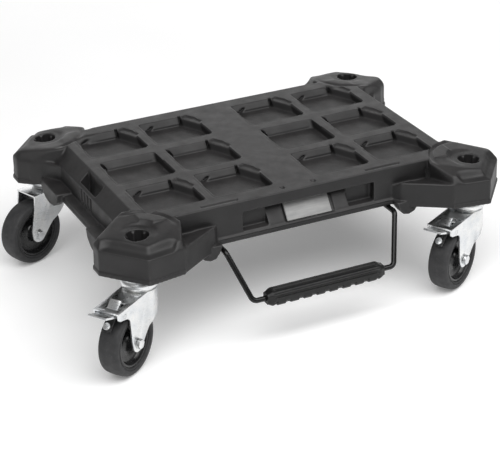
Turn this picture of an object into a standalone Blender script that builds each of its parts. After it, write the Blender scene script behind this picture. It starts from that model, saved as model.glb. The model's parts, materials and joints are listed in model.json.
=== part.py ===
"""Flat dolly for stacking tool boxes: moulded deck, four swivel casters, wire pull handle.

Metres, +Z up. The origin is the centre of the flat deck top. +X runs along the long side, the handle is on
the -Y side. The floor under the wheels is at FLOOR_Z.
"""
import math

import bmesh
import bpy
from mathutils import Matrix, Vector

# ---- driving dimensions ----------------------------------------------------------------------------------
FLOOR_Z = -0.2015
GAP = 0.0003

# deck: half sizes of the flat top, of the walls below it, and of the flange round the bottom edge
TOP_X, TOP_Y = 0.250, 0.175
WALL_X, WALL_Y = 0.271, 0.1765
FLANGE_X, FLANGE_Y = 0.287, 0.180
SHOULDER_Z = -0.020
FLANGE_TOP_Z = -0.048
FLANGE_BOTTOM_Z = -0.058
WALL = 0.004

# pockets for the feet of the tool boxes
POCKET_PITCH_X, POCKET_PITCH_Y = 0.1068, 0.105
CENTRE_COLUMN_X = 0.0791
POCKET_LEFT, POCKET_RIGHT = 0.046, 0.043
POCKET_FRONT, POCKET_BACK = 0.038, 0.043
POCKET_DEPTH = 0.0125
POCKET_LEAN = 0.008
LATCH_ALONG, LATCH_ACROSS = 0.036, 0.018

# corner lobes: quarter outline of the wall, from the front neck round to the side neck
LOBE_OUTLINE = [(0.215, 0.234), (0.272, 0.2435), (0.3235, 0.182), (0.3235, 0.160), (0.308, 0.145)]
LOBE_CREST = [(0.262, 0.122), (0.236, 0.136), (0.210, 0.160), (0.200, 0.186)]
HOLLOW_CREST = [(0.248, 0.120), (0.232, 0.128), (0.202, 0.152), (0.197, 0.168)]
LOBE_BOTTOM_Z = -0.060
LOBE_CREASE_Z = -0.0105
LOBE_CHAMFER_Z = -0.021
LOBE_CHAMFER = 0.0085
LOBE_LIP, LOBE_LIP_Z = 0.0015, -0.0540
NECK_ROOT_Z = -0.030

# casters: swivel axis, wheel and trail
SWIVEL_X, SWIVEL_Y = 0.266, 0.1885
TRAIL = 0.0423
WHEEL_RADIUS, WHEEL_WIDTH = 0.050, 0.032
AXLE_Z = FLOOR_Z + WHEEL_RADIUS
CASTER_YAWS = {
    "front_left": 215.2,
    "front_right": 210.0,
    "rear_left": 201.9,
    "rear_right": 205.0,
}
BRAKED = ("front_left", "front_right")
SOCKET_FLOOR_Z = -0.030
BOLT_RADIUS = 0.006
CUP_BOTTOM_Z = -0.0822
CROWN_TOP_Z = -0.0850
SHEET = 0.0025
FORK_HALF_WIDTH = 0.0205
CROWN_RADIUS = 0.0245
FORK_END = {True: 0.086, False: 0.046}

# brake: pivot in the fork's frame (along the trail, height) and half widths across the fork
BRAKE_PIVOT = (0.0700, -0.0948)
BRAKE_HALF_WIDTH = 0.0145

# handle: pivot line under the front skirt, corner points of one wire leg, grip
HANDLE_PIVOT_Y, HANDLE_PIVOT_Z = -0.150, -0.0628
WIRE_RADIUS = 0.004
WIRE_BEND = 0.009
WIRE_END_X = 0.158
LEG_TOP_X, LEG_TOP_Y = 0.137, -0.1945
LEG_FOOT_X = 0.114
GRIP_Y, GRIP_Z = -0.2335, -0.1288
GRIP_HALF_LENGTH = 0.0945
GRIP_RADIUS = 0.0128
GRIP_NOTCHES = 8
EAR_X, EAR_HALF = 0.1490, 0.003

# front face: sloping panel under the top edge (its upper and lower edge in Y and Z),
# with a blank plate on it and a bay at each side of it
FRONT_X = 0.006
PANEL_HALF = 0.0655
PANEL_HIGH, PANEL_LOW = (-0.1550, -0.0170), (-0.1775, -0.0478)
PLATE_HALF = 0.0360
PLATE_FROM, PLATE_TO = 0.0060, 0.0370
PLATE_THICKNESS = 0.0034
PLATE_RECESS = 0.0026
PLATE_GAPS = (0.0025, 0.0055)
PANEL_WALL = 0.0052
BAY_NEAR, BAY_FAR = 0.0650, 0.1060
BAY_LOW, BAY_HIGH = -0.0465, -0.017
BAY_BACK_Y = -0.164

# hand slots in the sloping ends, louvres under them
HAND_SLOT_HALF = 0.031
SLOT_WALL, SLOT_WALL_LOW = 0.0030, -0.0450
HAND_SLOT_IN, HAND_SLOT_OUT = 0.2520, 0.2665
LOUVRES = 4
LOUVRE_PITCH = 0.0125

# shallow dish round each socket
DISH_PROFILE = [(0.0, -0.0065), (0.027, -0.0065), (0.039, 0.004), (0.0, 0.004)]


# ---- helpers ---------------------------------------------------------------------------------------------
def clear_scene():
    for item in list(bpy.data.objects):
        bpy.data.objects.remove(item, do_unlink=True)


def material(name, colour, roughness, metallic=0.0):
    made = bpy.data.materials.new(name)
    made.use_nodes = True
    shader = made.node_tree.nodes["Principled BSDF"]
    shader.inputs["Base Color"].default_value = (*colour, 1.0)
    shader.inputs["Roughness"].default_value = roughness
    shader.inputs["Metallic"].default_value = metallic
    return made


def mesh_object(name, bm):
    bmesh.ops.recalc_face_normals(bm, faces=bm.faces)
    mesh = bpy.data.meshes.new(name)
    bm.to_mesh(mesh)
    bm.free()
    made = bpy.data.objects.new(name, mesh)
    bpy.context.scene.collection.objects.link(made)
    return made


def loft(rings, name="solid"):
    """A closed body through rings with the same number of points, capped at both ends."""
    bm = bmesh.new()
    rows = [[bm.verts.new(point) for point in ring] for ring in rings]
    count = len(rows[0])
    for lower, upper in zip(rows, rows[1:]):
        for i in range(count):
            j = (i + 1) % count
            bm.faces.new((lower[i], lower[j], upper[j], upper[i]))
    bm.faces.new(rows[0])
    bm.faces.new(rows[-1])
    return mesh_object(name, bm)


def prism(outline, low, high, name="solid"):
    """An outline in X and Y, raised from one height to another."""
    return loft([[(x, y, z) for x, y in outline] for z in (low, high)], name)


def side_prism(outline, low, high, name="solid"):
    """An outline in X and Z, extruded along Y."""
    return loft([[(x, y, z) for x, z in outline] for y in (low, high)], name)


def end_prism(outline, low, high, name="solid"):
    """An outline in Y and Z, extruded along X."""
    return loft([[(x, y, z) for y, z in outline] for x in (low, high)], name)


def box(low, high, name="solid"):
    outline = [(low[0], low[1]), (high[0], low[1]), (high[0], high[1]), (low[0], high[1])]
    return prism(outline, low[2], high[2], name)


def hull(points, name="solid"):
    bm = bmesh.new()
    for point in points:
        bm.verts.new(point)
    found = bmesh.ops.convex_hull(bm, input=bm.verts)
    spare = [v for v in found["geom_interior"] if isinstance(v, bmesh.types.BMVert)]
    bmesh.ops.delete(bm, geom=spare, context="VERTS")
    return mesh_object(name, bm)


def turned(profile, segments, name="solid", axis="Z", centre=(0.0, 0.0, 0.0)):
    """A closed (radius, height) loop turned round an axis; radius 0 closes onto the axis."""
    bm = bmesh.new()
    rows = []
    for radius, height in profile:
        if radius == 0.0:
            rows.append([bm.verts.new((0.0, 0.0, height))])
            continue
        angles = [2 * math.pi * i / segments for i in range(segments)]
        rows.append([bm.verts.new((radius * math.cos(a), radius * math.sin(a), height)) for a in angles])
    for k, row in enumerate(rows):
        after = rows[(k + 1) % len(rows)]
        if len(row) == 1 and len(after) == 1:
            continue
        for i in range(segments):
            j = (i + 1) % segments
            corners = [row[i % len(row)], row[j % len(row)], after[j % len(after)], after[i % len(after)]]
            bm.faces.new(list(dict.fromkeys(corners)))
    if axis == "Y":
        bmesh.ops.rotate(bm, verts=bm.verts, matrix=Matrix.Rotation(math.radians(-90), 3, "X"))
    if axis == "X":
        bmesh.ops.rotate(bm, verts=bm.verts, matrix=Matrix.Rotation(math.radians(90), 3, "Y"))
    bmesh.ops.translate(bm, verts=bm.verts, vec=Vector(centre))
    return mesh_object(name, bm)


def rod(radius, low, high, segments=16, name="solid", axis="Z", centre=(0.0, 0.0, 0.0)):
    return turned([(0.0, low), (radius, low), (radius, high), (0.0, high)], segments, name, axis, centre)


def combine(base, other, operation):
    """Boolean of two closed bodies; the second one is used up."""
    cut = base.modifiers.new("cut", "BOOLEAN")
    cut.operation = operation
    cut.solver = "EXACT"
    cut.object = other
    graph = bpy.context.evaluated_depsgraph_get()
    result = bpy.data.meshes.new_from_object(base.evaluated_get(graph))
    base.modifiers.remove(cut)
    base.data = result
    bpy.data.objects.remove(other, do_unlink=True)
    return base


def fuse(base, *others):
    for other in others:
        combine(base, other, "UNION")
    return base


def cut_away(base, *others):
    for other in others:
        combine(base, other, "DIFFERENCE")
    return base


def arc(centre, radius, start, end, count):
    """Points on an arc, angles in degrees."""
    steps = [math.radians(start + (end - start) * i / count) for i in range(count + 1)]
    return [(centre[0] + radius * math.cos(a), centre[1] + radius * math.sin(a)) for a in steps]


def inset(outline, distance):
    """The open outline moved inward, to the right of its direction."""
    moved = []
    for i, point in enumerate(outline):
        before = Vector(outline[max(i - 1, 0)])
        here = Vector(point)
        after = Vector(outline[min(i + 1, len(outline) - 1)])
        normals = []
        for a, b in ((before, here), (here, after)):
            if (b - a).length > 0:
                step = (b - a).normalized()
                normals.append(Vector((step.y, -step.x)))
        mean = sum(normals, Vector((0.0, 0.0))).normalized()
        moved.append(tuple(here + mean * distance / max(mean.dot(normals[0]), 0.5)))
    return moved


def finish(obj, look, parent=None, smooth_angle=None):
    obj.data.materials.clear()
    obj.data.materials.append(look)
    if smooth_angle is not None:
        obj.data.shade_smooth()
        obj.data.set_sharp_from_angle(angle=math.radians(smooth_angle))
    obj.parent = parent
    return obj


def set_origin(obj, point):
    """Moves the object's origin to a point and leaves its shape where it is."""
    obj.data.transform(Matrix.Translation(-Vector(point)))
    obj.location = point
    return obj


# ---- deck ------------------------------------------------------------------------------------------------
def frame_ring(half_x, half_y, z):
    return [(-half_x, -half_y, z), (half_x, -half_y, z), (half_x, half_y, z), (-half_x, half_y, z)]


def lobe_points(crest, crease_inset, wall_inset, crease_z, wall_z, bottom_z, top_z):
    """The corner points of one lobe in the +X +Y quarter."""
    wall = inset(LOBE_OUTLINE, wall_inset)
    crease = inset(LOBE_OUTLINE, crease_inset)
    points = [(x, y, bottom_z) for x, y in wall]
    points += [(x, y, wall_z) for x, y in wall]
    points += [(x, y, crease_z) for x, y in crease]
    points += [(x, y, top_z) for x, y in crest]
    points += [(x, y, bottom_z) for x, y in crest]
    return points


def flip(points, sx, sy):
    return [(sx * x, sy * y, z) for x, y, z in points]


def neck_points(outline, wall_x, wall_y, thickness, bottom_z):
    """Fills between a lobe and a wall: outer points at the shoulder, inner ones up the wall."""
    points = []
    for x, y in outline:
        points += [(x, y, bottom_z), (x, y, LOBE_CHAMFER_Z - thickness)]
    for x, y in ((wall_x[0], wall_y[0]), (wall_x[1], wall_y[1])):
        points += [(x, y, bottom_z), (x, y, NECK_ROOT_Z - thickness)]
    return points


FRONT_NECKS = (
    ([(0.150, 0.190), (0.178, 0.208)], (0.140, 0.178), (0.174, 0.174)),
    ([(0.178, 0.208), (0.2155, 0.2335)], (0.178, 0.222), (0.174, 0.174)),
)
SIDE_NECKS = (
    ([(0.286, 0.132), (0.3078, 0.1452)], (0.262, 0.262), (0.150, 0.126)),
    ([(0.271, 0.104), (0.286, 0.132)], (0.262, 0.262), (0.130, 0.092)),
)


def lug(sx, sy, along_x):
    """The rounded tongue of the skirt beside a lobe, on the long side or on the short side."""
    if along_x:
        outline = [(0.141, -0.050), (0.146, -0.062), (0.152, -0.0700), (0.161, -0.0715), (0.170, -0.0680)]
        outline += [(0.178, -0.058), (0.178, -0.050)]
        solid = side_prism([(sx * x, z) for x, z in outline], sy * 0.172, sy * 0.196, "lug")
    else:
        outline = [(0.060, -0.046), (0.064, -0.060), (0.078, -0.0705), (0.098, -0.0745), (0.116, -0.0720)]
        outline += [(0.132, -0.062), (0.132, -0.046)]
        solid = end_prism([(sy * y, z) for y, z in outline], sx * 0.268, sx * 0.2955, "lug")
    return solid


def deck_outside():
    rings = [
        frame_ring(TOP_X, TOP_Y, 0.0),
        frame_ring(WALL_X, WALL_Y, SHOULDER_Z),
        frame_ring(WALL_X, WALL_Y, FLANGE_TOP_Z),
        frame_ring(FLANGE_X, FLANGE_Y, FLANGE_TOP_Z - 0.0015),
        frame_ring(FLANGE_X, FLANGE_Y, FLANGE_BOTTOM_Z),
    ]
    deck = loft(rings, "deck_shell")
    levels = (LOBE_CREASE_Z, LOBE_CHAMFER_Z, LOBE_LIP_Z - 0.0005, -0.0004)
    lobe = lobe_points(LOBE_CREST, LOBE_CHAMFER, LOBE_LIP, *levels)
    lip = [(x, y, z) for z in (LOBE_LIP_Z, LOBE_BOTTOM_Z) for x, y in LOBE_OUTLINE + LOBE_CREST]
    for sx in (-1, 1):
        for sy in (-1, 1):
            fuse(deck, hull(flip(lobe, sx, sy)), hull(flip(lip, sx, sy)))
            for outline, wall_x, wall_y in FRONT_NECKS + SIDE_NECKS:
                neck = neck_points(outline, wall_x, wall_y, 0.0, LOBE_BOTTOM_Z + 0.0007)
                fuse(deck, hull(flip(neck, sx, sy)))
            fuse(deck, lug(sx, sy, True), lug(sx, sy, False))
    return deck


def pocket_boxes():
    """Plan limits (x0, x1, y0, y1) of the twelve pockets with their row and column."""
    boxes = []
    columns = [-CENTRE_COLUMN_X - POCKET_PITCH_X, -CENTRE_COLUMN_X, CENTRE_COLUMN_X]
    columns.append(CENTRE_COLUMN_X + POCKET_PITCH_X)
    for row in (-1, 0, 1):
        for column, x in enumerate(columns):
            y = row * POCKET_PITCH_Y
            limits = (x - POCKET_LEFT, x + POCKET_RIGHT, y - POCKET_FRONT, y + POCKET_BACK)
            boxes.append((limits, row, column))
    return boxes


def pocket_outline(limits, latch_corner, lean):
    """A pocket's plan, with its back wall and the latch pad's cut-off corner moved forward by the lean."""
    x0, x1, y0, y1 = limits
    soft = 0.005
    outline = arc((x0 + soft, y0 + soft), soft, 180, 270, 3)
    outline += arc((x1 - soft, y0 + soft), soft, 270, 360, 3)
    back = y1 - lean
    if latch_corner:
        outline += [(x1, y1 - LATCH_ALONG - 1.4 * lean), (x1 - LATCH_ACROSS - 0.2 * lean, back), (x0, back)]
    else:
        outline += arc((x1 - soft, back - soft), soft, 0, 90, 3)
        outline += arc((x0 + soft, back - soft), soft, 90, 180, 3)
    return outline


def pocket_cutter(limits, latch_corner):
    """One pocket: upright at the front and the sides, its back wall and latch corner leaning back."""
    levels = ((-POCKET_DEPTH, POCKET_LEAN), (0.0, 0.0), (0.010, 0.0))
    plans = [(pocket_outline(limits, latch_corner, lean), z) for z, lean in levels]
    return loft([[(x, y, z) for x, y in plan] for plan, z in plans], "pocket")


def has_latch(row, column):
    return not (row == 0 and column in (0, 2))


def underside_hollow():
    """The space under the deck: inside the walls, less the pocket tubs, the ribs and the caster bosses."""
    slope = WALL + 0.0005
    rings = [
        frame_ring(TOP_X - slope, TOP_Y - WALL, -WALL),
        frame_ring(WALL_X - WALL, WALL_Y - WALL, SHOULDER_Z - 0.001),
        frame_ring(WALL_X - WALL, WALL_Y - WALL, -0.0525),
        frame_ring(FLANGE_X - WALL, FLANGE_Y - WALL, -0.0535),
        frame_ring(FLANGE_X - WALL, FLANGE_Y - WALL, -0.080),
    ]
    hollow = loft(rings, "hollow")
    levels = (LOBE_CREASE_Z - 0.0085, LOBE_CHAMFER_Z - 0.006, -0.080, -0.0135)
    lobe = lobe_points(HOLLOW_CREST, LOBE_CHAMFER + 0.0045, 0.0045, *levels)
    for sx in (-1, 1):
        for sy in (-1, 1):
            fuse(hollow, hull(flip(lobe, sx, sy)))
    for limits, _row, _column in pocket_boxes():
        x0, x1, y0, y1 = limits
        side = 0.0035
        low = (x0 - side, y0 - side, -POCKET_DEPTH - side)
        cut_away(hollow, box(low, (x1 + side, y1 + side, 0.01)))
    rib = 0.0015
    rib_low = -0.0275
    between_columns = CENTRE_COLUMN_X + POCKET_PITCH_X / 2
    for x in (-between_columns, -0.022, 0.022, between_columns):
        cut_away(hollow, box((x - rib, -0.2, rib_low), (x + rib, 0.2, 0.0)))
    for y in (-POCKET_PITCH_Y / 2, POCKET_PITCH_Y / 2):
        cut_away(hollow, box((-0.3, y + 0.002 - rib, rib_low), (0.3, y + 0.002 + rib, 0.0)))
    for sx in (-1, 1):
        for sy in (-1, 1):
            centre = (sx * SWIVEL_X, sy * SWIVEL_Y, 0.0)
            cut_away(hollow, rod(0.0305, -0.09, 0.0, 20, centre=centre))
            for angle in range(15, 375, 60):
                web = box((0.0, -rib, -0.0570), (0.09, rib, 0.0))
                web.data.transform(Matrix.Rotation(math.radians(angle), 4, "Z"))
                web.data.transform(Matrix.Translation(Vector(centre)))
                cut_away(hollow, web)
        near, far = sorted((sx * (HAND_SLOT_IN - SLOT_WALL), sx * HAND_SLOT_IN))
        cut_away(hollow, box((near, -0.040, SLOT_WALL_LOW), (far, 0.040, 0.0)))
        near, far = sorted((sx * (HAND_SLOT_IN - SLOT_WALL), sx * FLANGE_X))
        for front in (-HAND_SLOT_HALF - SLOT_WALL, HAND_SLOT_HALF):
            cut_away(hollow, box((near, front, SLOT_WALL_LOW), (far, front + SLOT_WALL, 0.0)))
        near, far = sorted((FRONT_X + sx * (BAY_NEAR - 0.003), FRONT_X + sx * (BAY_FAR + 0.003)))
        cut_away(hollow, box((near, -0.18, BAY_LOW - 0.003), (far, BAY_BACK_Y + 0.003, 0.0)))
    length = (Vector(PANEL_LOW) - Vector(PANEL_HIGH)).length
    back_high, back_low = panel_point(0.0, -PANEL_WALL), panel_point(length, -PANEL_WALL)
    behind = [(-0.18, 0.0), (back_high[0], 0.0), back_high, back_low, (-0.18, back_low[1])]
    side = PANEL_HALF + 0.003
    return cut_away(hollow, end_prism(behind, FRONT_X - side, FRONT_X + side))


def panel_point(down, out):
    """A point (Y, Z) at a distance down the sloping panel and out of its face."""
    step = (Vector(PANEL_LOW) - Vector(PANEL_HIGH)).normalized()
    return (PANEL_HIGH[0] + step.x * down + step.y * out, PANEL_HIGH[1] + step.y * down - step.x * out)


def panel_slab(start, end, low, high):
    """Outline in Y and Z of a slab that lies along the sloping panel."""
    return [panel_point(start, low), panel_point(end, low), panel_point(end, high), panel_point(start, high)]


def socket_cutter(centre):
    """Ribbed conical socket in a lobe, with the bolt hole under it."""
    profile = [(0.0, SOCKET_FLOOR_Z), (0.0150, SOCKET_FLOOR_Z), (0.0175, 0.005), (0.0, 0.005)]
    cone = turned(profile, 24, "socket", centre=centre)
    return fuse(cone, rod(BOLT_RADIUS + 0.0004, -0.07, -0.02, 16, centre=centre))


def ear(sx):
    """A hanging ear beside a lobe; the wire's end turns in its hole."""
    y, z = HANDLE_PIVOT_Y, HANDLE_PIVOT_Z
    outline = [(y - 0.020, -0.003), (y - 0.012, z)] + arc((y, z), 0.009, 200, 340, 5)
    outline += [(y + 0.012, z), (y + 0.020, -0.003)]
    near, far = sorted((sx * (EAR_X - EAR_HALF), sx * (EAR_X + EAR_HALF)))
    return end_prism(outline, near, far, "ear")


def deck_shell(look):
    deck = deck_outside()
    cut_away(deck, underside_hollow())
    fuse(deck, ear(-1), ear(1))
    for sx in (-1, 1):
        for sy in (-1, 1):
            centre = (sx * SWIVEL_X, sy * SWIVEL_Y, 0.0)
            cut_away(deck, turned(DISH_PROFILE, 24, "dish", centre=centre), socket_cutter(centre))
        near, far = sorted((sx * HAND_SLOT_IN, sx * HAND_SLOT_OUT))
        cut_away(deck, box((near, -HAND_SLOT_HALF, -0.052), (far, HAND_SLOT_HALF, 0.010)))
        for k in range(LOUVRES):
            y = (k - (LOUVRES - 1) / 2) * LOUVRE_PITCH
            near, far = sorted((sx * 0.260, sx * 0.300))
            cut_away(deck, box((near, y - 0.0035, -0.0455), (far, y + 0.0035, -0.0235)))
    for limits, row, column in pocket_boxes():
        cut_away(deck, pocket_cutter(limits, has_latch(row, column)))
    recess = [PANEL_HIGH, PANEL_LOW, (-0.2, PANEL_LOW[1]), (-0.2, PANEL_HIGH[1])]
    cut_away(deck, end_prism(recess, FRONT_X - PANEL_HALF, FRONT_X + PANEL_HALF))
    seat = panel_slab(PLATE_FROM - 0.0008, PLATE_TO + 0.0003, -PLATE_RECESS, 0.004)
    left, right = FRONT_X - PLATE_HALF - PLATE_GAPS[0], FRONT_X + PLATE_HALF + PLATE_GAPS[1]
    cut_away(deck, end_prism(seat, left, right))
    for sx in (-1, 1):
        near, far = sorted((FRONT_X + sx * BAY_NEAR, FRONT_X + sx * BAY_FAR))
        cut_away(deck, box((near, -0.2, BAY_LOW), (far, BAY_BACK_Y, BAY_HIGH)))
        near, far = sorted((sx * 0.103, sx * 0.160))
        cut_away(deck, box((near, -0.1682, -0.003), (far, -0.1632, 0.01)))
        x = sx * 0.025 - 0.005
        cut_away(deck, box((x - 0.0035, -0.1650, -0.003), (x + 0.0035, -0.1575, 0.01)))
        hole = rod(WIRE_RADIUS + 0.0004, -0.01, 0.01, 16, axis="X",
                   centre=(sx * EAR_X, HANDLE_PIVOT_Y, HANDLE_PIVOT_Z))
        cut_away(deck, hole)
    return finish(deck, look)


def front_plate(look):
    low = GAP - PLATE_RECESS
    outline = panel_slab(PLATE_FROM, PLATE_TO, low, low + PLATE_THICKNESS)
    return finish(end_prism(outline, FRONT_X - PLATE_HALF, FRONT_X + PLATE_HALF, "front_plate"), look)


# ---- casters ---------------------------------------------------------------------------------------------
def hexagon(radius):
    return arc((0.0, 0.0), radius, 0, 300, 5)


def fixed_caster_parts(name, centre, looks):
    """Bolt, nut and bearing cup, which stay with the deck."""
    bolt = prism(hexagon(0.0108), SOCKET_FLOOR_Z + GAP, SOCKET_FLOOR_Z + 0.0078, "caster_bolt_" + name)
    fuse(bolt, rod(BOLT_RADIUS, -0.0990, SOCKET_FLOOR_Z + 0.002, 12))
    nut_top = CROWN_TOP_Z - SHEET - GAP
    nut = prism(hexagon(0.0108), nut_top - 0.0088, nut_top, "caster_nut_" + name)
    cut_away(nut, rod(BOLT_RADIUS + GAP, -0.11, -0.08, 12))
    bore = BOLT_RADIUS + 0.0004
    top = LOBE_BOTTOM_Z - GAP
    profile = [(bore, top), (0.0275, top), (0.0275, -0.0635), (0.0240, -0.0675)]
    profile += [(0.0268, -0.0745), (0.0268, -0.0798), (0.0248, CUP_BOTTOM_Z), (bore, CUP_BOTTOM_Z)]
    cup = turned(profile, 24, "swivel_cup_" + name)
    for piece, look, angle in ((bolt, "black_steel", 40), (nut, "zinc", 40), (cup, "zinc", 40)):
        piece.location = centre
        finish(piece, looks[look], smooth_angle=angle)


def fork_plan(radius, half_width):
    start = math.degrees(math.asin(half_width / radius))
    return arc((0.0, 0.0), radius, start, 360 - start, 14) + [(0.12, -half_width), (0.12, half_width)]


def fork_side(braked):
    """Side outline of the fork: crown, trailing edge, rounded axle end, leading edge."""
    end = FORK_END[braked]
    above = CROWN_TOP_Z + 0.004
    outline = [(-0.030, above), (end, above)]
    if braked:
        outline += [(end, -0.0945), (end - 0.003, -0.0970), (0.0665, -0.1010)]
        outline += arc((0.0680, -0.1110), 0.0095, 110, 180, 4)
        outline += [(0.0565, -0.1430)]
    else:
        outline += [(end, -0.0905), (0.0485, -0.1100), (0.0558, -0.1430)]
    outline += arc((TRAIL, AXLE_Z), 0.0125, -5, -140, 8)
    outline += [(0.0200, -0.1450), (0.0050, -0.1300), (-0.0120, -0.1170), (-0.0300, -0.1060)]
    return outline


def fork(name, braked):
    solid = prism(fork_plan(CROWN_RADIUS, FORK_HALF_WIDTH), -0.175, CROWN_TOP_Z, "fork_" + name)
    inner = fork_plan(CROWN_RADIUS - SHEET, FORK_HALF_WIDTH - SHEET)
    inner[-1] = (0.13, inner[-1][1])
    inner[-2] = (0.13, inner[-2][1])
    cut_away(solid, prism(inner, -0.18, CROWN_TOP_Z - SHEET))
    combine(solid, side_prism(fork_side(braked), -0.03, 0.03), "INTERSECT")
    fuse(solid, rod(0.0225, CROWN_TOP_Z - 0.001, CUP_BOTTOM_Z - GAP, 24))
    cut_away(solid, rod(BOLT_RADIUS + 0.0006, -0.10, -0.07, 12))
    cut_away(solid, rod(0.0044, -0.03, 0.03, 12, axis="Y", centre=(TRAIL, 0.0, AXLE_Z)))
    if braked:
        cut_away(solid, box((0.0540, -0.0115, -0.095), (0.0765, 0.0115, -0.080)))
        pin_hole = rod(0.0033, -0.03, 0.03, 12, axis="Y", centre=(BRAKE_PIVOT[0], 0.0, BRAKE_PIVOT[1]))
        cut_away(solid, pin_hole)
    return solid


def tyre(name):
    half = WHEEL_WIDTH / 2
    edge = [(0.0366, half - 0.0015), (0.0385, half), (0.0445, half), (0.0488, half - 0.0042)]
    edge += [(WHEEL_RADIUS, half - 0.0100)]
    profile = [(r, -y) for r, y in edge] + [(r, y) for r, y in reversed(edge)]
    return turned(profile, 40, "tyre_" + name, "Y", (TRAIL, 0.0, AXLE_Z))


def hub(name):
    edge = [(0.0062, 0.0172), (0.0120, 0.0172), (0.0135, 0.0060), (0.0305, 0.0055), (0.0335, 0.0138)]
    edge += [(0.0363, 0.0138)]
    profile = [(r, -y) for r, y in edge] + [(r, y) for r, y in reversed(edge)]
    return turned(profile, 24, "hub_" + name, "Y", (TRAIL, 0.0, AXLE_Z))


def axle_parts(name):
    centre = (TRAIL, 0.0, AXLE_Z)
    sleeve_loop = [(0.0043, -0.0177), (0.0059, -0.0177), (0.0059, 0.0177), (0.0043, 0.0177)]
    sleeve = turned(sleeve_loop, 16, "axle_sleeve_" + name, "Y", centre)
    face = FORK_HALF_WIDTH + GAP
    head = [(x + TRAIL, z + AXLE_Z) for x, z in hexagon(0.0075)]
    bolt = side_prism(head, face, face + 0.0052, "axle_bolt_" + name)
    fuse(bolt, rod(0.0040, -0.0285, face + 0.002, 12, axis="Y", centre=centre))
    nut = side_prism(head, -face - 0.0060, -face, "axle_nut_" + name)
    cut_away(nut, rod(0.0043, -0.04, -0.01, 12, axis="Y", centre=centre))
    return sleeve, bolt, nut


def along(start, direction, distance, offset):
    """A point at a distance along a direction in the X-Z plane and offset to its left."""
    dx, dz = direction
    return (start[0] + dx * distance - dz * offset, start[1] + dz * distance + dx * offset)


PAD_DIRECTION = (math.cos(math.radians(45)), math.sin(math.radians(45)))
PAD_TIP = WHEEL_RADIUS + 0.0060
ARM_LEVEL = 0.0588


def brake_pedal(name):
    px, pz = BRAKE_PIVOT
    half = BRAKE_HALF_WIDTH
    pedal = rod(0.0054, -half - 0.002, half + 0.002, 16, "brake_pedal_" + name, "Y", (px, 0.0, pz))
    tread = [(px, pz - 0.0030), (0.0780, -0.0949), (0.1082, -0.0836), (0.1072, -0.0810)]
    tread += [(0.0770, -0.0923), (px, pz + 0.0050)]
    tab = [(0.0588, -0.0800), (0.0612, -0.0782), (0.0745, -0.0918), (px, pz - 0.001), (0.0690, -0.0915)]
    across = (PAD_DIRECTION[1], -PAD_DIRECTION[0])
    foot = along((TRAIL, AXLE_Z), PAD_DIRECTION, ARM_LEVEL, 0.0)
    arm = [along(foot, across, d, w) for d, w in ((-0.0165, -0.00125), (0.0062, -0.00125))]
    arm += [along(foot, across, d, w) for d, w in ((0.0062, 0.00125), (-0.0165, 0.00125))]
    fuse(pedal, side_prism(tread, -half, half), side_prism(tab, -0.0085, 0.0085))
    fuse(pedal, side_prism(arm, -0.0068, 0.0068))
    cut_away(pedal, rod(0.0033, -0.03, 0.03, 12, axis="Y", centre=(px, 0.0, pz)))
    hole = rod(0.0028, -0.01, 0.01, 12)
    place_on_pad_line(hole, ARM_LEVEL)
    return cut_away(pedal, hole)


def place_on_pad_line(obj, distance):
    """Turns an upright body so that its axis runs from the axle out through the brake pad."""
    turn = Matrix.Rotation(math.atan2(PAD_DIRECTION[0], PAD_DIRECTION[1]), 4, "Y")
    x, z = along((TRAIL, AXLE_Z), PAD_DIRECTION, distance, 0.0)
    obj.data.transform(Matrix.Translation(Vector((x, 0.0, z))) @ turn)
    return obj


def brake_screw(name):
    thick = 0.00125 + GAP
    tip = PAD_TIP - ARM_LEVEL
    profile = [(0.0, tip), (0.0062, tip), (0.0062, -thick), (0.0025, -thick), (0.0025, thick)]
    profile += [(0.0052, thick), (0.0052, thick + 0.0035), (0.0, thick + 0.0035)]
    return place_on_pad_line(turned(profile, 16, "brake_screw_" + name), ARM_LEVEL)


def caster(name, centre, looks):
    braked = name in BRAKED
    fixed_caster_parts(name, centre, looks)
    swivel = bpy.data.objects.new("swivel_axis_" + name, None)
    bpy.context.scene.collection.objects.link(swivel)
    swivel.location = centre
    swivel.rotation_euler = (0.0, 0.0, math.radians(CASTER_YAWS[name]))
    axle = (TRAIL, 0.0, AXLE_Z)
    finish(fork(name, braked), looks["zinc"], swivel, 35)
    sleeve, bolt, nut = axle_parts(name)
    for piece, look in ((sleeve, "zinc"), (bolt, "zinc"), (nut, "zinc")):
        finish(piece, looks[look], swivel, 40)
    for piece, look in ((tyre(name), "rubber"), (hub(name), "hub_plastic")):
        finish(set_origin(piece, axle), looks[look], swivel, 35)
    if braked:
        pivot = (BRAKE_PIVOT[0], 0.0, BRAKE_PIVOT[1])
        pin = rod(0.0030, -FORK_HALF_WIDTH, FORK_HALF_WIDTH, 12, "brake_pin_" + name, "Y", pivot)
        finish(pin, looks["zinc"], swivel, 40)
        for piece in (brake_pedal(name), brake_screw(name)):
            finish(set_origin(piece, pivot), looks["zinc"], swivel, 35)


# ---- handle ----------------------------------------------------------------------------------------------
def rounded_path(corners, radius, steps):
    """The corner points joined by straight runs and arcs of the given radius."""
    points = [Vector(corners[0])]
    for before, here, after in zip(corners, corners[1:], corners[2:]):
        here = Vector(here)
        back = (Vector(before) - here).normalized()
        ahead = (Vector(after) - here).normalized()
        half_angle = back.angle(ahead) / 2
        centre = here + (back + ahead).normalized() * (radius / math.sin(half_angle))
        start = here + back * (radius / math.tan(half_angle)) - centre
        end = here + ahead * (radius / math.tan(half_angle)) - centre
        sweep = start.angle(end)
        axis = start.cross(end).normalized()
        points += [centre + Matrix.Rotation(sweep * k / steps, 3, axis) @ start for k in range(steps + 1)]
    points.append(Vector(corners[-1]))
    return points


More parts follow.
